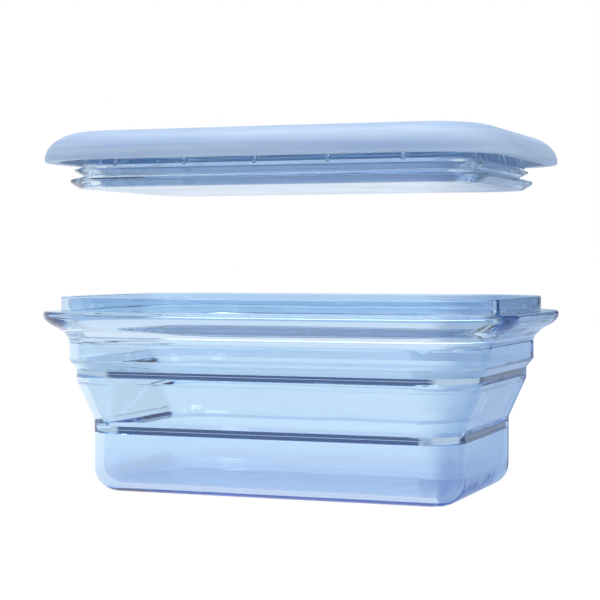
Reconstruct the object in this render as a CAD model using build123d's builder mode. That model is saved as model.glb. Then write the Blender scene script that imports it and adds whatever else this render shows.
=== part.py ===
from build123d import *
from math import acos, degrees
import os

# Collapsible soap loaf mould with a press-in lid, millimetres, +Z up.
# Origin: centre of the flat underside of the base tray. Long side along X.
# The mould stands extended and the lid is lifted clear above it.
#
# Every wall follows one rounded-rectangle outline, the outside of the base tray.
# Wall sections are drawn as (out, up): the distance outside that outline, and
# the height above the underside.

# ---- base tray ----
base_length = 200.0
base_width = 120.0
corner_radius = 18.0
wall_thickness = 3.4
floor_thickness = 4.0
base_edge_radius = 12.0
cavity_edge_radius = 8.4

# ---- heights of the bands ----
lower_ring_bottom = 30.4
fold_bottom = 36.8
fold_top = 57.6
collar_bottom = 63.5
collar_step_top = 68.2
collar_inner_step_top = 68.5
frame_bottom = 77.8
mouth_shelf_bottom = 81.8
mouth_seat = 88.0
flange_top = 93.5
mouth_top = 101.2

# ---- stiffening beads: 45 degree ridges inside the wall, at the height of their edge ----
lower_bead_height = 32.5
upper_bead_height = 61.9
bead_size = 2.0

# ---- how far each band stands outside the base outline ----
fold_thickness = 2.8
upper_ring_in = 6.9
upper_ring_out = 9.3
collar_in = 9.9
collar_out = 13.1
mouth_in = 12.7
mouth_out = 16.9
mouth_chamfer = 0.8
flange_out = 26.2
flange_edge_round = 0.8

# ---- curve under the flange: how far out, and how far below the flange's top ----
flange_widest_drop = 1.2
flange_nose_out = 25.6
flange_nose_drop = 4.0
flange_under_out = 22.6
flange_under_drop = 6.9
rim_bend_out = 18.0
rim_bend_drop = 9.4
rim_neck_out = 14.3
rim_neck_drop = 12.9

# ---- lid cover ----
lid_edge = 170.6
lid_out = 25.2
lid_height = 15.6
lid_edge_band = 1.3
lid_shoulder_run = 22.3
lid_roof = 2.5
lid_roof_overlap = 1.0
lid_recess_out = 17.5
lid_edge_round = 0.8

# ---- lid plug ----
plug_bottom = lid_edge - 13.4
plug_top = lid_edge + lid_height - lid_roof
plug_out = 2.0
plug_wall = 2.5
plug_rim_bottom = lid_edge + 7.6
plug_rim_thickness = 2.0
plug_rim_out = 14.8

# ---- lid gasket ----
neck_out = 5.5
neck_foot = lid_edge - 2.4
upper_lip_out = 9.9
upper_lip_height = lid_edge - 4.1
upper_lip_nose_run = 0.3
upper_lip_nose_half = 0.6
lip_groove_out = 4.6
lip_groove_height = lid_edge - 7.0
lip_groove_half = 0.3
lower_lip_out = 12.2
lower_lip_height = lid_edge - 9.7
lower_lip_nose_run = 0.6
lower_lip_nose_half = 0.9
lower_lip_heel_out = 9.4
lower_lip_heel_height = lid_edge - 12.1
gasket_foot_out = 7.2

# ---- ribs between the gasket's neck and its upper lip ----
rib_count = 16
rib_thickness = 1.6
rib_root_out = neck_out - 0.5
rib_top_out = neck_out + 0.8
rib_out = neck_out + 4.0
rib_top = lid_edge + 6.0
rib_shoulder_height = neck_foot + 0.4
rib_foot_height = upper_lip_height + 0.3

half_length = base_length / 2
half_width = base_width / 2

with BuildLine() as outline:
    front = Line((0, -half_width), (half_length - corner_radius, -half_width))
    front_corner = JernArc(front @ 1, front % 1, corner_radius, 90)
    side = Line(front_corner @ 1, (half_length, half_width - corner_radius))
    back_corner = JernArc(side @ 1, side % 1, corner_radius, 90)
    Line(back_corner @ 1, (0, half_width))
    mirror(about=Plane.YZ)

outline_path = outline.wire()


def plan_outline(out):
    """Plan shape standing `out` outside the base outline."""
    RectangleRounded(
        base_length + 2 * out, base_width + 2 * out, corner_radius + out
    )


def plane_across(fraction):
    """Upright plane across the outline: local x runs outward, local y runs up."""
    along = outline_path % fraction
    return Plane(
        origin=outline_path @ fraction,
        x_dir=along.cross(Vector(0, 0, 1)),
        z_dir=-along,
    )


def ring_section(points):
    """Closed straight-sided wall section through (out, up) points."""
    with BuildSketch(plane_across(0)) as section:
        with BuildLine():
            Polyline(*points, close=True)
        make_face()
    return section.sketch


# ---- base tray: floor and straight lower wall ----
with BuildPart() as base_tray:
    with BuildSketch():
        plan_outline(0)
    extrude(amount=lower_ring_bottom)
    fillet(base_tray.faces().sort_by(Axis.Z)[0].edges(), base_edge_radius)
    with BuildSketch(Plane.XY.offset(floor_thickness)):
        plan_outline(-wall_thickness)
    extrude(amount=lower_ring_bottom - floor_thickness, mode=Mode.SUBTRACT)
    cavity_floor = base_tray.faces().filter_by(Plane.XY).sort_by(Axis.Z)[1]
    fillet(cavity_floor.edges(), cavity_edge_radius)

# ---- lower ring: thick band with a bead inside, which the folding wall hangs on ----
with BuildPart() as lower_ring:
    lower_ring_points = [
        (0, lower_ring_bottom),
        (0, fold_bottom),
        (-fold_thickness, fold_bottom),
        (-wall_thickness, lower_bead_height + bead_size),
        (-wall_thickness - bead_size, lower_bead_height),
        (-wall_thickness, lower_bead_height - bead_size),
        (-wall_thickness, lower_ring_bottom),
    ]
    sweep(ring_section(lower_ring_points), path=outline_path)

# ---- folding wall: thin slanted skirt that turns inside out ----
with BuildPart() as fold_wall:
    fold_points = [
        (0, fold_bottom),
        (upper_ring_out, fold_top),
        (upper_ring_out - fold_thickness, fold_top),
        (-fold_thickness, fold_bottom),
    ]
    sweep(ring_section(fold_points), path=outline_path)

# ---- upper ring: thick band with a bead inside, above the folding wall ----
with BuildPart() as upper_ring:
    upper_ring_points = [
        (upper_ring_out, fold_top),
        (upper_ring_out, collar_bottom),
        (upper_ring_in, upper_bead_height + bead_size),
        (upper_ring_in - bead_size, upper_bead_height),
        (upper_ring_in, upper_bead_height - bead_size),
        (upper_ring_out - fold_thickness, fold_top),
    ]
    sweep(ring_section(upper_ring_points), path=outline_path)

# ---- collar: stiff upper wall with a bevelled underside ----
with BuildPart() as collar:
    collar_points = [
        (collar_out, collar_step_top),
        (collar_out, frame_bottom),
        (collar_in, frame_bottom),
        (collar_in, collar_inner_step_top),
        (upper_ring_in, upper_bead_height + bead_size),
        (upper_ring_out, collar_bottom),
    ]
    sweep(ring_section(collar_points), path=outline_path)

# ---- rim frame: gripping flange and the neck under it ----
with BuildPart() as rim_frame:
    with BuildSketch(plane_across(0)) as rim_frame_section:
        with BuildLine():
            Polyline(
                (collar_out, frame_bottom),
                (collar_in, frame_bottom),
                (mouth_in, mouth_shelf_bottom),
                (mouth_in, mouth_seat),
                (mouth_out, mouth_seat),
                (mouth_out, flange_top),
                (flange_out - flange_edge_round, flange_top),
            )
            Spline(
                (flange_out - flange_edge_round, flange_top),
                (flange_out, flange_top - flange_widest_drop),
                (flange_nose_out, flange_top - flange_nose_drop),
                (flange_under_out, flange_top - flange_under_drop),
                (rim_bend_out, flange_top - rim_bend_drop),
                (rim_neck_out, flange_top - rim_neck_drop),
                (collar_out, frame_bottom),
            )
        make_face()
    sweep(path=outline_path)

# ---- mouth ring: upright lip the lid presses into ----
with BuildPart() as mouth_ring:
    mouth_ring_points = [
        (mouth_in, mouth_seat),
        (mouth_out, mouth_seat),
        (mouth_out, mouth_top - mouth_chamfer),
        (mouth_out - mouth_chamfer, mouth_top),
        (mouth_in + mouth_chamfer, mouth_top),
        (mouth_in, mouth_top - mouth_chamfer),
    ]
    sweep(ring_section(mouth_ring_points), path=outline_path)

# ---- lid cover: domed shell on a flat rim ----
lid_top = lid_edge + lid_height
lid_dome_foot = lid_edge + lid_edge_band
lid_dome_height = lid_height - lid_edge_band
lid_roof_out = lid_out - lid_shoulder_run
roof_overlap_out = lid_roof_out - lid_roof_overlap
inner_run = lid_shoulder_run - lid_roof
inner_start = degrees(acos((lid_recess_out - lid_roof_out) / inner_run))

with BuildPart() as lid_cover:
    with BuildSketch(plane_across(0)) as shoulder_section:
        with BuildLine():
            outside = EllipticalCenterArc(
                (lid_roof_out, lid_dome_foot), lid_shoulder_run, lid_dome_height, arc_size=90
            )
            inside = EllipticalCenterArc(
                (lid_roof_out, lid_dome_foot),
                inner_run,
                lid_dome_height - lid_roof,
                start_angle=inner_start,
                arc_size=90 - inner_start,
            )
            Polyline(
                outside @ 1,
                (roof_overlap_out, lid_top),
                (roof_overlap_out, lid_top - lid_roof),
                inside @ 1,
            )
            Polyline(
                inside @ 0, (lid_recess_out, lid_edge), (lid_out, lid_edge), outside @ 0
            )
        make_face()
    sweep(path=outline_path)
    with BuildSketch(Plane.XY.offset(lid_top - lid_roof)):
        plan_outline(lid_roof_out)
    extrude(amount=lid_roof)
    fillet(lid_cover.faces().sort_by(Axis.Z)[0].outer_wire().edges(), lid_edge_round)

# ---- lid plug: hollow dish with an out-turned rim that rests on the mouth ring ----
with BuildPart() as lid_plug:
    with BuildSketch(Plane.XY.offset(plug_bottom)):
        plan_outline(plug_out)
    extrude(amount=plug_top - plug_bottom)
    with BuildSketch(Plane.XY.offset(plug_rim_bottom)):
        plan_outline(plug_rim_out)
    extrude(amount=plug_rim_thickness)
    with BuildSketch(Plane.XY.offset(plug_bottom + plug_wall)):
        plan_outline(plug_out - plug_wall)
    extrude(amount=plug_top - plug_bottom - plug_wall, mode=Mode.SUBTRACT)

# ---- lid gasket: soft ring with two sealing lips and small ribs on its neck ----
with BuildPart() as lid_gasket:
    gasket_points = [
        (plug_out, plug_rim_bottom),
        (neck_out, plug_rim_bottom),
        (neck_out, neck_foot),
        (upper_lip_out - upper_lip_nose_run, upper_lip_height + upper_lip_nose_half),
        (upper_lip_out, upper_lip_height),
        (upper_lip_out - upper_lip_nose_run, upper_lip_height - upper_lip_nose_half),
        (lip_groove_out, lip_groove_height + lip_groove_half),
        (lip_groove_out, lip_groove_height - lip_groove_half),
        (lower_lip_out - lower_lip_nose_run, lower_lip_height + lower_lip_nose_half),
        (lower_lip_out, lower_lip_height),
        (lower_lip_out - lower_lip_nose_run, lower_lip_height - lower_lip_nose_half),
        (lower_lip_heel_out, lower_lip_heel_height),
        (gasket_foot_out, plug_bottom),
        (plug_out, plug_bottom),
    ]
    sweep(ring_section(gasket_points), path=outline_path)
    for k in range(rib_count):
        with BuildSketch(plane_across(k / rib_count)):
            with BuildLine():
                Polyline(
                    (rib_root_out, rib_top),
                    (rib_top_out, rib_top),
                    (rib_out, rib_shoulder_height),
                    (rib_out, rib_foot_height),
                    (rib_root_out, rib_foot_height),
                    close=True,
                )
            make_face()
        extrude(amount=rib_thickness / 2, both=True)

base_tray.part.label = "base_tray"
lower_ring.part.label = "lower_ring"
fold_wall.part.label = "fold_wall"
upper_ring.part.label = "upper_ring"
collar.part.label = "collar"
rim_frame.part.label = "rim_frame"
mouth_ring.part.label = "mouth_ring"
lid_cover.part.label = "lid_cover"
lid_plug.part.label = "lid_plug"
lid_gasket.part.label = "lid_gasket"

os.makedirs("parts", exist_ok=True)
export_step(base_tray.part, "parts/base_tray.step")
export_step(lower_ring.part, "parts/lower_ring.step")
export_step(fold_wall.part, "parts/fold_wall.step")
export_step(upper_ring.part, "parts/upper_ring.step")
export_step(collar.part, "parts/collar.step")
export_step(rim_frame.part, "parts/rim_frame.step")
export_step(mouth_ring.part, "parts/mouth_ring.step")
export_step(lid_cover.part, "parts/lid_cover.step")
export_step(lid_plug.part, "parts/lid_plug.step")
export_step(lid_gasket.part, "parts/lid_gasket.step")
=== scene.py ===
import math

import bmesh
import bpy
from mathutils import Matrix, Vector


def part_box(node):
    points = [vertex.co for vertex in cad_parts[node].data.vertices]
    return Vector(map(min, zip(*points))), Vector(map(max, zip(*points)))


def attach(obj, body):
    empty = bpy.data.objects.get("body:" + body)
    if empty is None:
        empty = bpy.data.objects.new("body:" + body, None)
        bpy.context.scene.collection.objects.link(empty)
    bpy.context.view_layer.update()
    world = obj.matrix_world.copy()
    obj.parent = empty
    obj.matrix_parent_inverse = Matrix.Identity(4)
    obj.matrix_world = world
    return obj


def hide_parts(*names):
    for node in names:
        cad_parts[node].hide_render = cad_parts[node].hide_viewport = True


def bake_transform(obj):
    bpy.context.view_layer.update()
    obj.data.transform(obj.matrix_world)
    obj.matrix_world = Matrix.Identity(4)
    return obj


# A clear collapsible soap loaf mould with its press-in lid held above it.
# Section lengths are millimetres, and Blender works in metres. Wall sections are
# (out, up) points: the distance outside the tray's outline, and the height.
MM = 0.001

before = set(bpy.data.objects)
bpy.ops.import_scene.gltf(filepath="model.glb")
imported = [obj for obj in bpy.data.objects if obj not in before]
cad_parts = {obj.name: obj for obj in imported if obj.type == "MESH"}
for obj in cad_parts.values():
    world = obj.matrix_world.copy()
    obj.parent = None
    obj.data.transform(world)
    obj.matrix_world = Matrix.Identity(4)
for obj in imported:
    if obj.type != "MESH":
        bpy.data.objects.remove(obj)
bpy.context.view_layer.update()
scene = bpy.context.scene

# ---------------------------------------------------------------- sizes
tray_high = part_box("base_tray")[1]
fold_low, fold_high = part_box("fold_wall")
collar_low, collar_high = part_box("collar")
frame_low, frame_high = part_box("rim_frame")
mouth_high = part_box("mouth_ring")[1]
cover_low, cover_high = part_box("lid_cover")
plug_low, plug_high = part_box("lid_plug")

HALF_LENGTH = tray_high.x / MM
HALF_WIDTH = tray_high.y / MM
CORNER = 18.0                # corner radius of the tray's outline
SEAM = 0.06                  # gap left between two mouldings that touch
SHARP = math.radians(50)     # edges that turn by more than this stay sharp

TRAY_TOP = tray_high.z / MM
FOLD_BOTTOM = fold_low.z / MM
FOLD_TOP = fold_high.z / MM
COLLAR_BOTTOM = collar_low.z / MM
FRAME_BOTTOM = frame_low.z / MM
FLANGE_TOP = frame_high.z / MM
MOUTH_TOP = mouth_high.z / MM
LID_EDGE = cover_low.z / MM
LID_TOP = cover_high.z / MM
PLUG_BOTTOM = plug_low.z / MM
PLUG_TOP = plug_high.z / MM

ARC_STEPS = 14               # mesh steps round a corner, and along each kind of side
LONG_STEPS = 22
SHORT_STEPS = 10


# ---------------------------------------------------------------- outline
def loop_points(out, corner):
    """Points round a rounded rectangle standing `out` outside the tray's outline."""
    points = []
    flat_x, flat_y = HALF_LENGTH + out - corner, HALF_WIDTH + out - corner
    sides = [
        ((flat_x, -flat_y), -90, SHORT_STEPS, (0, 1), 2 * flat_y),
        ((flat_x, flat_y), 0, LONG_STEPS, (-1, 0), 2 * flat_x),
        ((-flat_x, flat_y), 90, SHORT_STEPS, (0, -1), 2 * flat_y),
        ((-flat_x, -flat_y), 180, LONG_STEPS, (1, 0), 2 * flat_x),
    ]
    for (cx, cy), start, steps, (dx, dy), length in sides:
        for i in range(ARC_STEPS + 1):
            angle = math.radians(start + 90 * i / ARC_STEPS)
            points.append((cx + corner * math.cos(angle), cy + corner * math.sin(angle)))
        x0, y0 = points[-1]
        for i in range(1, steps):
            run = length * i / steps
            points.append((x0 + dx * run, y0 + dy * run))
    return points


# ---------------------------------------------------------------- sections
def rounded(points, steps=4):
    """Section through (out, up, radius) corners, each turned into an arc."""
    section = []
    count = len(points)
    for i, (out, up, radius) in enumerate(points):
        here = Vector((out, up))
        before = Vector(points[i - 1][:2]) - here
        after = Vector(points[(i + 1) % count][:2]) - here
        if radius <= 0:
            section.append((out, up))
            continue
        half = before.angle(after) / 2
        reach = min(radius / math.tan(half), before.length * 0.48, after.length * 0.48)
        turn = reach * math.tan(half)
        centre = here + (before.normalized() + after.normalized()).normalized() * (
            turn / math.sin(half)
        )
        first = here + before.normalized() * reach - centre
        last = here + after.normalized() * reach - centre
        sweep = first.angle_signed(last)
        for k in range(steps + 1):
            angle = -sweep * k / steps
            spun = Vector((
                first.x * math.cos(angle) - first.y * math.sin(angle),
                first.x * math.sin(angle) + first.y * math.cos(angle),
            ))
            section.append(tuple(centre + spun))
    return section


def arc(centre, radii, start, end, steps):
    """Elliptical arc of (out, up) points, angles in degrees."""
    points = []
    for i in range(steps + 1):
        angle = math.radians(start + (end - start) * i / steps)
        points.append((
            centre[0] + radii[0] * math.cos(angle),
            centre[1] + radii[1] * math.sin(angle),
        ))
    return points


def through(points, steps=6):
    """Smooth curve through (out, up) points."""
    curve = []
    ends = [points[0]] + list(points) + [points[-1]]
    for i in range(1, len(ends) - 2):
        p0, p1, p2, p3 = (Vector(ends[i + k]) for k in (-1, 0, 1, 2))
        for k in range(steps):
            t = k / steps
            point = 0.5 * (
                2 * p1
                + (p2 - p0) * t
                + (2 * p0 - 5 * p1 + 4 * p2 - p3) * t * t
                + (3 * p1 - p0 - 3 * p2 + p3) * t * t * t
            )
            curve.append(tuple(point))
    curve.append(tuple(points[-1]))
    return curve


def straight(start, end, steps):
    """Evenly spaced (out, up) points from start to end, both included."""
    return [
        (
            start[0] + (end[0] - start[0]) * i / steps,
            start[1] + (end[1] - start[1]) * i / steps,
        )
        for i in range(steps + 1)
    ]


# ---------------------------------------------------------------- meshes
def smooth_object(name, mesh):
    """Object made from a bmesh, smooth except at its sharp edges."""
    bmesh.ops.recalc_face_normals(mesh, faces=mesh.faces)
    data = bpy.data.meshes.new(name)
    mesh.to_mesh(data)
    mesh.free()
    piece = bpy.data.objects.new(name, data)
    scene.collection.objects.link(piece)
    for face in data.polygons:
        face.use_smooth = True
    data.set_sharp_from_angle(angle=SHARP)
    return piece


def swept(name, section, closed=True):
    """Mesh of a section carried round the outline; an open one is capped.

    A section point may carry a third number, which makes its corners that much rounder.
    """
    mesh = bmesh.new()
    loops = []
    for out, up, *fuller in section:
        corner = CORNER + out + (fuller[0] if fuller else 0)
        loops.append([
            mesh.verts.new((x * MM, y * MM, up * MM)) for x, y in loop_points(out, corner)
        ])
    pairs = list(zip(loops, loops[1:]))
    if closed:
        pairs.append((loops[-1], loops[0]))
    count = len(loops[0])
    for low, high in pairs:
        for i in range(count):
            j = (i + 1) % count
            mesh.faces.new((low[i], low[j], high[j], high[i]))
    if not closed:
        mesh.faces.new(list(reversed(loops[0])))
        mesh.faces.new(loops[-1])
    return smooth_object(name, mesh)


def weigh_normals(piece):
    """Flat faces keep flat shading next to small rounded corners."""
    modifier = piece.modifiers.new("normals", "WEIGHTED_NORMAL")
    modifier.mode = "FACE_AREA"
    modifier.weight = 60
    modifier.keep_sharp = True
    bpy.context.view_layer.objects.active = piece
    with bpy.context.temp_override(object=piece, active_object=piece):
        bpy.ops.object.modifier_apply(modifier=modifier.name)


# ---- silicone wall: floor, lower band, folding wall, upper band, collar
BASE_EDGE = 12.0             # rounding under the tray, outside
CAVITY_EDGE = 8.4            # rounding of the cavity's floor
WALL = 3.4
FLOOR = 4.0
FULLER = 2.0                 # the cavity's corners are this much rounder than the outside's
FOLD_WALL = 2.8
RING_IN = 6.9                # inside of the upper ring
COLLAR_IN = 9.9
COLLAR_STEP = 4.7            # height of the collar's bevelled underside
COLLAR_STEP_IN = 68.5        # top of the slope inside the collar
UPPER_BEAD = 61.9            # height of each bead's edge
LOWER_BEAD = 32.5
BEAD = 2.0                   # how far a bead stands out, and half its height
BEAD_ROUND = 0.15
FOLD_STEPS = 22
fold_out = (fold_high.x - tray_high.x) / MM
collar_out = (collar_high.x - tray_high.x) / MM
silicone_top = FRAME_BOTTOM - SEAM
bead_foot = LOWER_BEAD - BEAD

outer = arc((-BASE_EDGE, BASE_EDGE), (BASE_EDGE, BASE_EDGE), -90, 0, 30)
outer += straight((0, BASE_EDGE + 2), (0, TRAY_TOP), 6)
outer += rounded([
    (0, FOLD_BOTTOM - 3, 0),
    (0, FOLD_BOTTOM, 1.0),
    (2, FOLD_BOTTOM + 4.5, 0),
])[1:-1]
outer += straight((1.2, FOLD_BOTTOM + 2.7), (fold_out - 0.8, FOLD_TOP - 1.8), FOLD_STEPS)
outer += rounded([
    (fold_out - 1.2, FOLD_TOP - 2.7, 0),
    (fold_out, FOLD_TOP, 0.8),
    (fold_out, FOLD_TOP + 3, 0),
])[1:-1]
outer += straight((fold_out, FOLD_TOP + 1.2), (fold_out, COLLAR_BOTTOM - 0.8), 3)
outer += rounded([
    (fold_out, COLLAR_BOTTOM - 1, 0),
    (fold_out, COLLAR_BOTTOM, 0.5),
    (collar_out, COLLAR_BOTTOM + COLLAR_STEP, 0.5),
    (collar_out, COLLAR_BOTTOM + COLLAR_STEP + 1.3, 0),
])[1:-1]
outer += straight(
    (collar_out, COLLAR_BOTTOM + COLLAR_STEP + 0.9), (collar_out, silicone_top - 0.6), 4
)

inner = rounded([
    (collar_out, silicone_top - 2, 0),
    (collar_out, silicone_top, 0.3),
    (COLLAR_IN, silicone_top, 0.3),
    (COLLAR_IN, COLLAR_STEP_IN, 0.8),
    (RING_IN, UPPER_BEAD + BEAD, 0.3),
    (RING_IN - BEAD, UPPER_BEAD, BEAD_ROUND),
    (RING_IN, UPPER_BEAD - BEAD, BEAD_ROUND),
    (fold_out - FOLD_WALL, FOLD_TOP, 0),
])[1:-1]
inner += straight((6.2, FOLD_TOP - 0.7), (-0.92, FOLD_BOTTOM + 4.2), FOLD_STEPS)
inner += rounded([
    (-0.92, FOLD_BOTTOM + 4.2, 0),
    (-FOLD_WALL, FOLD_BOTTOM, 0.6),
    (-WALL, LOWER_BEAD + BEAD, BEAD_ROUND),
    (-WALL - BEAD, LOWER_BEAD, BEAD_ROUND),
    (-WALL, bead_foot, BEAD_ROUND),
    (-WALL, bead_foot - 2, 0),
])[1:-1]
inner += straight((-WALL, bead_foot - 2), (-WALL, FLOOR + CAVITY_EDGE + 1), 4)
inner += arc(
    (-WALL - CAVITY_EDGE, FLOOR + CAVITY_EDGE), (CAVITY_EDGE, CAVITY_EDGE), 0, -90, 10
)
inner = [(out, up, FULLER) for out, up in inner]
silicone_wall = swept("silicone_wall", outer + inner, closed=False)

# ---- clear rim: neck, gripping flange and upright mouth lip
MOUTH_IN = 12.7
MOUTH_OUT = 16.9
MOUTH_ROUND = 0.8
FLANGE_EDGE = 25.4           # where the flange's flat top ends
NECK_ROUND = 0.2
rim_section = rounded([
    (collar_out, FRAME_BOTTOM, NECK_ROUND),
    (COLLAR_IN, FRAME_BOTTOM, NECK_ROUND),
    (MOUTH_IN, FRAME_BOTTOM + 4, 1.0),
    (MOUTH_IN, MOUTH_TOP, MOUTH_ROUND),
    (MOUTH_OUT, MOUTH_TOP, MOUTH_ROUND),
    (MOUTH_OUT, FLANGE_TOP, 0.5),
    (FLANGE_EDGE, FLANGE_TOP, 0),
])[:-1]
rim_section += through([
    (FLANGE_EDGE, FLANGE_TOP),
    (26.2, FLANGE_TOP - 1.2),
    (25.6, FLANGE_TOP - 4.0),
    (22.6, FLANGE_TOP - 6.9),
    (18.0, FLANGE_TOP - 9.4),
    (14.3, FRAME_BOTTOM + 2.8),
    (13.2, FRAME_BOTTOM + 0.6),
])
clear_rim = swept("clear_rim", rim_section)

# ---- lid cover: frosted domed shell
LID_OUT = 25.2
SHOULDER = 22.3              # how far in the domed shoulder reaches
ROOF = 2.5
RECESS = 17.5                # inside edge of the cover's flat rim
DOME_FOOT = LID_EDGE + 1.3
roof_out = LID_OUT - SHOULDER
recess_angle = math.degrees(math.acos((RECESS - roof_out) / (SHOULDER - ROOF)))
cover_section = arc(
    (roof_out, DOME_FOOT), (SHOULDER - ROOF, LID_TOP - DOME_FOOT - ROOF), 90, recess_angle, 18
)
cover_section += rounded([
    (RECESS, LID_EDGE + 6, 0),
    (RECESS, LID_EDGE, 0.4),
    (LID_OUT, LID_EDGE, 0.8),
    (LID_OUT, LID_EDGE + 2, 0),
])[1:-1]
cover_section += arc((roof_out, DOME_FOOT), (SHOULDER, LID_TOP - DOME_FOOT), 4, 90, 26)
lid_cover = swept("frosted_cover", cover_section, closed=False)

# ---- lid plug: clear hollow dish with an out-turned rim
PLUG_OUT = 2.0
PLUG_WALL = 2.5
PLUG_CENTRE = -12.0          # the flat dish closes from here inwards
PLUG_RIM_OUT = (plug_high.x - tray_high.x) / MM
PLUG_RIM = LID_EDGE + 7.6
PLUG_RIM_TOP = PLUG_RIM + 2.0
PLUG_ROUND = 0.3
PLUG_RIM_ROUND = 0.5
plug_section = rounded([
    (PLUG_CENTRE, PLUG_BOTTOM, 0),
    (PLUG_OUT, PLUG_BOTTOM, 0.6),
    (PLUG_OUT, PLUG_RIM, PLUG_ROUND),
    (PLUG_RIM_OUT, PLUG_RIM, PLUG_RIM_ROUND),
    (PLUG_RIM_OUT, PLUG_RIM_TOP, PLUG_RIM_ROUND),
    (PLUG_OUT, PLUG_RIM_TOP, PLUG_ROUND),
    (PLUG_OUT, PLUG_TOP - SEAM, PLUG_ROUND),
    (PLUG_OUT - PLUG_WALL, PLUG_TOP - SEAM, PLUG_ROUND),
    (PLUG_OUT - PLUG_WALL, PLUG_BOTTOM + PLUG_WALL, 1.2),
    (PLUG_CENTRE, PLUG_BOTTOM + PLUG_WALL, 0),
])
lid_plug = swept("clear_plug", plug_section, closed=False)

# ---- lid gasket: two sealing lips on a neck with small ribs
NECK_OUT = 5.5
NECK_FOOT = LID_EDGE - 2.4
UPPER_LIP = LID_EDGE - 4.1
UPPER_LIP_OUT = 9.9
GROOVE = LID_EDGE - 7.0
LOWER_LIP = LID_EDGE - 9.7
LOWER_LIP_OUT = 12.2
gasket_section = rounded([
    (PLUG_OUT + SEAM, PLUG_RIM - SEAM, 0.2),
    (NECK_OUT, PLUG_RIM - SEAM, 0.5),
    (NECK_OUT, NECK_FOOT, 0.8),
    (UPPER_LIP_OUT, UPPER_LIP + 0.3, 0.3),
    (UPPER_LIP_OUT, UPPER_LIP - 0.5, 0.3),
    (4.6, GROOVE, 0.4),
    (LOWER_LIP_OUT - 0.6, LOWER_LIP + 0.9, 0.5),
    (LOWER_LIP_OUT, LOWER_LIP, 0.5),
    (LOWER_LIP_OUT - 0.4, LOWER_LIP - 0.9, 0.5),
    (9.4, LOWER_LIP - 2.4, 0.9),
    (7.2, PLUG_BOTTOM, 0.6),
    (PLUG_OUT + SEAM, PLUG_BOTTOM, 0.3),
])
lid_gasket = swept("seal_gasket", gasket_section)

RIBS = 16
RIB_TOP = LID_EDGE + 6.0
RIB_OUT = NECK_OUT + 4.0
RIB_ROOT = NECK_OUT + 0.05
RIB_HALF = 0.8
RIB_ROUND = 0.25


def place_on_outline(fraction):
    """Point and outward direction part of the way round, from the middle of the front."""
    flat_x, flat_y = HALF_LENGTH - CORNER, HALF_WIDTH - CORNER
    quarter = math.pi / 2 * CORNER
    run = fraction * (4 * flat_x + 4 * flat_y + 4 * quarter)
    steps = [
        ("line", (0, -HALF_WIDTH), (1, 0), flat_x),
        ("arc", (flat_x, -flat_y), -90, quarter),
        ("line", (HALF_LENGTH, -flat_y), (0, 1), 2 * flat_y),
        ("arc", (flat_x, flat_y), 0, quarter),
        ("line", (flat_x, HALF_WIDTH), (-1, 0), 2 * flat_x),
        ("arc", (-flat_x, flat_y), 90, quarter),
        ("line", (-HALF_LENGTH, flat_y), (0, -1), 2 * flat_y),
        ("arc", (-flat_x, -flat_y), 180, quarter),
        ("line", (-flat_x, -HALF_WIDTH), (1, 0), flat_x),
    ]
    for kind, start, way, length in steps:
        if run > length:
            run -= length
            continue
        if kind == "line":
            here = (start[0] + way[0] * run, start[1] + way[1] * run)
            return here, (way[1], -way[0])
        angle = math.radians(way) + run / CORNER
        out = (math.cos(angle), math.sin(angle))
        return (start[0] + CORNER * out[0], start[1] + CORNER * out[1]), out


def rib_mesh():
    """Small upright ribs between the gasket's neck and its upper lip."""
    mesh = bmesh.new()
    side_view = [
        (RIB_ROOT, RIB_TOP),
        (NECK_OUT + 0.8, RIB_TOP),
        (RIB_OUT, NECK_FOOT + 0.4),
        (RIB_OUT, UPPER_LIP + 0.9),
        (RIB_ROOT, NECK_FOOT + 0.9),
    ]
    for k in range(RIBS):
        (x, y), (nx, ny) = place_on_outline(k / RIBS)
        rings = []
        for offset in (-RIB_HALF, RIB_HALF):
            rings.append([
                mesh.verts.new((
                    (x + nx * out - ny * offset) * MM,
                    (y + ny * out + nx * offset) * MM,
                    up * MM,
                ))
                for out, up in side_view
            ])
        first, last = rings
        mesh.faces.new(first)
        mesh.faces.new(list(reversed(last)))
        for i in range(len(first)):
            j = (i + 1) % len(first)
            mesh.faces.new((first[i], first[j], last[j], last[i]))
    bmesh.ops.bevel(
        mesh, geom=mesh.edges[:], offset=RIB_ROUND * MM, segments=2, affect="EDGES", profile=0.5
    )
    return smooth_object("gasket_ribs", mesh)


gasket_ribs = rib_mesh()

for piece in (silicone_wall, clear_rim, lid_cover, lid_plug, lid_gasket):
    weigh_normals(piece)

# ---------------------------------------------------------------- materials
GLASS = 1.5                  # refractive index of both plastics
DEEP_BLUE = (0.045, 0.49, 0.845)    # what is left of white light in thick material


def new_material(name, transmission):
    """Material with its nodes, its shader, and the object's own coordinates."""
    material = bpy.data.materials.new(name)
    material.use_nodes = True
    nodes, links = material.node_tree.nodes, material.node_tree.links
    shader = nodes["Principled BSDF"]
    shader.inputs["IOR"].default_value = GLASS
    shader.inputs["Transmission Weight"].default_value = transmission
    return material, nodes, links, shader, nodes.new("ShaderNodeTexCoord")


def noise_node(nodes, links, place, stretch, scale, detail):
    """Noise over the object's own coordinates, drawn out along some axes."""
    mapping = nodes.new("ShaderNodeMapping")
    mapping.inputs["Scale"].default_value = stretch
    links.new(place.outputs["Object"], mapping.inputs["Vector"])
    noise = nodes.new("ShaderNodeTexNoise")
    noise.inputs["Scale"].default_value = scale
    noise.inputs["Detail"].default_value = detail
    links.new(mapping.outputs["Vector"], noise.inputs["Vector"])
    return noise


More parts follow.
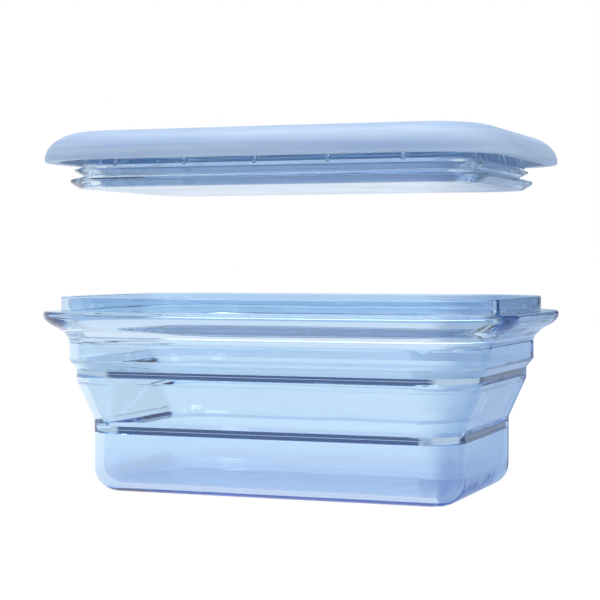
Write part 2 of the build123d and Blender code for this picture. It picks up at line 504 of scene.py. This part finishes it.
def ramp_node(nodes, links, factor, stops):
    """Colour ramp through (position, colour) stops."""
    ramp = nodes.new("ShaderNodeValToRGB")
    ramp.color_ramp.elements.remove(ramp.color_ramp.elements[1])
    for i, (position, colour) in enumerate(stops):
        if i == 0:
            element = ramp.color_ramp.elements[0]
            element.position = position
        else:
            element = ramp.color_ramp.elements.new(position)
        element.color = (*colour, 1)
    links.new(factor, ramp.inputs["Fac"])
    return ramp


def add_relief(nodes, links, shader, height, strength, distance):
    """Bump from a height value."""
    bump = nodes.new("ShaderNodeBump")
    bump.inputs["Strength"].default_value = strength
    bump.inputs["Distance"].default_value = distance
    links.new(height, bump.inputs["Height"])
    links.new(bump.outputs["Normal"], shader.inputs["Normal"])


def vary_roughness(nodes, links, shader, factor, smooth, rough):
    """Roughness that wanders between two values."""
    spread = nodes.new("ShaderNodeMapRange")
    spread.inputs["From Min"].default_value = 0.35
    spread.inputs["From Max"].default_value = 0.75
    spread.inputs["To Min"].default_value = smooth
    spread.inputs["To Max"].default_value = rough
    links.new(factor, spread.inputs["Value"])
    links.new(spread.outputs["Result"], shader.inputs["Roughness"])


def height_share(nodes, links, place, low, high):
    """0 at the low height, 1 at the high one, in metres."""
    split = nodes.new("ShaderNodeSeparateXYZ")
    links.new(place.outputs["Object"], split.inputs[0])
    height = nodes.new("ShaderNodeMapRange")
    height.inputs["From Min"].default_value = low
    height.inputs["From Max"].default_value = high
    links.new(split.outputs["Z"], height.inputs["Value"])
    return height.outputs["Result"]


def clear_material(name, tint, low_tint, heights, rough, wave, density):
    """Clear blue moulding: soft waviness, faint smudges, a tint that drifts with height. On the
    silicone that drift is painted shade, on the rim painted highlight.
    """
    material, nodes, links, shader, place = new_material(name, 1)
    waves = noise_node(nodes, links, place, (1, 1, 1.6), 22, 2)
    add_relief(nodes, links, shader, waves.outputs["Fac"], 0.5, wave)
    smudges = noise_node(nodes, links, place, (1, 1, 1), 60, 5)
    vary_roughness(nodes, links, shader, smudges.outputs["Fac"], 0.0, rough)
    drift = nodes.new("ShaderNodeMath")
    drift.operation = "MULTIPLY_ADD"
    drift.inputs[1].default_value = 0.2
    links.new(waves.outputs["Fac"], drift.inputs[0])
    links.new(height_share(nodes, links, place, *heights), drift.inputs[2])
    ramp = ramp_node(nodes, links, drift.outputs[0], [(0.1, low_tint), (1.0, tint)])
    links.new(ramp.outputs["Color"], shader.inputs["Base Color"])
    volume = nodes.new("ShaderNodeVolumeAbsorption")
    volume.inputs["Color"].default_value = (*DEEP_BLUE, 1)
    volume.inputs["Density"].default_value = density
    links.new(volume.outputs["Volume"], nodes["Material Output"].inputs["Volume"])
    return material


def frosted_material(name):
    """Milky moulded plastic: fine grain, faint level streaks, a little cloudiness."""
    material, nodes, links, shader, place = new_material(name, 0.5)
    streaks = noise_node(nodes, links, place, (1, 1, 40), 9, 3)
    clouds = ramp_node(
        nodes, links, streaks.outputs["Fac"],
        [(0.35, (0.54, 0.70, 0.92)), (0.5, (0.61, 0.76, 0.95)), (0.65, (0.68, 0.82, 0.97))],
    )
    links.new(clouds.outputs["Color"], shader.inputs["Base Color"])
    grain = noise_node(nodes, links, place, (1, 1, 1), 1500, 2)
    add_relief(nodes, links, shader, grain.outputs["Fac"], 0.25, 0.0002)
    patches = noise_node(nodes, links, place, (1, 1, 1), 35, 4)
    vary_roughness(nodes, links, shader, patches.outputs["Fac"], 0.44, 0.58)
    return material


# Painted shade: low_tint makes the silicone darker and more lavender towards the bottom,
# standing in for the shaded floor under the mould seen through the walls.
silicone = clear_material(
    "clear_silicone", tint=(0.76, 0.87, 0.96), low_tint=(0.68, 0.77, 0.94),
    heights=(0.0, 0.03), rough=0.03, wave=0.0006, density=25,
)
# Painted highlight: low_tint makes the rim much lighter below the mouth, so the flange's outer
# edge looks brightly lit; the darker tint above stands for the thick mouth ring's deeper
# colour.
plastic = clear_material(
    "clear_plastic", tint=(0.62, 0.775, 0.93), low_tint=(0.86, 0.93, 0.98),
    heights=(0.09, 0.097), rough=0.02, wave=0.0003, density=13,
)
plug_mat = clear_material(
    "clear_plug", tint=(0.80, 0.89, 0.97), low_tint=(0.84, 0.90, 0.98),
    heights=(0.157, 0.183), rough=0.04, wave=0.0004, density=5,
)
gasket_mat = clear_material(
    "clear_gasket", tint=(0.88, 0.94, 0.99), low_tint=(0.86, 0.93, 0.99),
    heights=(0.157, 0.178), rough=0.05, wave=0.0005, density=4,
)
frosted = frosted_material("frosted")

silicone_wall.data.materials.append(silicone)
clear_rim.data.materials.append(plastic)
lid_plug.data.materials.append(plug_mat)
lid_gasket.data.materials.append(gasket_mat)
gasket_ribs.data.materials.append(gasket_mat)
lid_cover.data.materials.append(frosted)

# ---------------------------------------------------------------- riding
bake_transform(silicone_wall)
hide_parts("base_tray", "lower_ring", "fold_wall", "upper_ring", "collar")
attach(clear_rim, "rim")
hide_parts("rim_frame", "mouth_ring")
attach(lid_cover, "lid")
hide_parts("lid_cover")
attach(lid_plug, "lid")
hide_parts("lid_plug")
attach(lid_gasket, "lid")
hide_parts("lid_gasket")
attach(gasket_ribs, "lid")

# ---------------------------------------------------------------- stage
FLOOR_HALF = 2.2
floor_corners = [
    (-FLOOR_HALF, -FLOOR_HALF, 0),
    (FLOOR_HALF, -FLOOR_HALF, 0),
    (FLOOR_HALF, FLOOR_HALF, 0),
    (-FLOOR_HALF, FLOOR_HALF, 0),
]
floor_data = bpy.data.meshes.new("floor")
floor_data.from_pydata(floor_corners, [], [(0, 1, 2, 3)])
floor = bpy.data.objects.new("floor", floor_data)
scene.collection.objects.link(floor)
floor.location = (0.09, -0.055, -0.0003)    # centred under the mould's near right corner

# What the mould reflects and refracts: (degrees round it, 0 = +X, 90 = +Y, and colour)
WHITE = (1.0, 1.0, 1.0)
PALE = (0.80, 0.88, 0.98)
SOFT = (0.72, 0.74, 0.78)
BROWN = (0.13, 0.12, 0.115)
NAVY = (0.05, 0.10, 0.24)
LAVENDER = (0.43, 0.53, 0.70)
SURROUND = [
    (-180, SOFT), (-140, SOFT), (-122, NAVY), (-70, NAVY), (-50, SOFT), (0, SOFT),
    (48, SOFT), (56, BROWN), (86, BROWN), (90, LAVENDER), (104.5, LAVENDER), (106.5, PALE),
    (130, PALE), (150, SOFT), (180, SOFT),
]
# Painted shade on the floor: the lavender sector behind the mould's right side darkens the
# floor there, standing in for the shade under the mould; only reflections and refractions see
# it.
FLOOR_PAINTED_SHADE = [
    (-180, WHITE), (20, WHITE), (40, LAVENDER), (102, LAVENDER), (106, WHITE), (180, WHITE),
]


def add_surroundings(nodes, links, shown, target, stops):
    """Colour by direction round the mould, white where the camera sees it directly. On the
    world this is the studio's light; on the floor it is painted shade.
    """
    split = nodes.new("ShaderNodeSeparateXYZ")
    links.new(shown, split.inputs[0])
    turn = nodes.new("ShaderNodeMath")
    turn.operation = "ARCTAN2"
    links.new(split.outputs["Y"], turn.inputs[0])
    links.new(split.outputs["X"], turn.inputs[1])
    share = nodes.new("ShaderNodeMapRange")
    share.inputs["From Min"].default_value = -math.pi
    share.inputs["From Max"].default_value = math.pi
    links.new(turn.outputs[0], share.inputs["Value"])
    ramp = ramp_node(
        nodes, links, share.outputs["Result"],
        [((degrees_round + 180) / 360, colour) for degrees_round, colour in stops],
    )
    plain = nodes.new("ShaderNodeMix")
    plain.data_type = "RGBA"
    plain.inputs["B"].default_value = (*WHITE, 1)
    seen = nodes.new("ShaderNodeLightPath")
    links.new(seen.outputs["Is Camera Ray"], plain.inputs["Factor"])
    links.new(ramp.outputs["Color"], plain.inputs["A"])
    links.new(plain.outputs["Result"], target)


world = bpy.data.worlds.new("studio")
world.use_nodes = True
world_nodes, world_links = world.node_tree.nodes, world.node_tree.links
add_surroundings(
    world_nodes, world_links, world_nodes.new("ShaderNodeTexCoord").outputs["Generated"],
    world_nodes["Background"].inputs["Color"], SURROUND,
)
scene.world = world

# The floor glows rather than being lit, so it shows no cast shadow; its glow carries the
# painted shade set out above.
pale = bpy.data.materials.new("pale_floor")
pale.use_nodes = True
pale_shader = pale.node_tree.nodes["Principled BSDF"]
pale_shader.inputs["Base Color"].default_value = (0.05, 0.05, 0.05, 1)
pale_shader.inputs["Emission Strength"].default_value = 0.98
pale_shader.inputs["Roughness"].default_value = 0.9
add_surroundings(
    pale.node_tree.nodes, pale.node_tree.links,
    pale.node_tree.nodes.new("ShaderNodeTexCoord").outputs["Object"],
    pale_shader.inputs["Emission Color"], FLOOR_PAINTED_SHADE,
)
floor_data.materials.append(pale)


def area_light(name, place, size, power):
    """Soft rectangular light turned towards the origin."""
    data = bpy.data.lights.new(name, "AREA")
    data.shape = "RECTANGLE"
    data.size, data.size_y = size
    data.energy = power
    light = bpy.data.objects.new(name, data)
    light.location = place
    light.rotation_euler = (-Vector(place)).to_track_quat("-Z", "Y").to_euler()
    scene.collection.objects.link(light)


area_light("overhead", (0.0, 0.2, 1.6), (1.6, 1.2), 20)
area_light("front strip", (0.5, -1.3, 0.75), (1.2, 0.12), 4)

# ---------------------------------------------------------------- camera
TURN = 0.360                 # radians round from the front, towards +X
PITCH = -0.0223
DISTANCE = 0.9146
HEIGHT = 0.1194
camera_data = bpy.data.cameras.new("camera")
camera_data.sensor_width = 36
camera_data.lens = 103.86
camera_data.shift_x = -0.0066
camera = bpy.data.objects.new("camera", camera_data)
camera.location = (DISTANCE * math.sin(TURN), -DISTANCE * math.cos(TURN), HEIGHT)
camera.rotation_euler = (math.pi / 2 + PITCH, 0, TURN)
scene.collection.objects.link(camera)
scene.camera = camera

scene.view_settings.view_transform = "Standard"
scene.cycles.max_bounces = 64
scene.cycles.transmission_bounces = 48
scene.cycles.glossy_bounces = 48
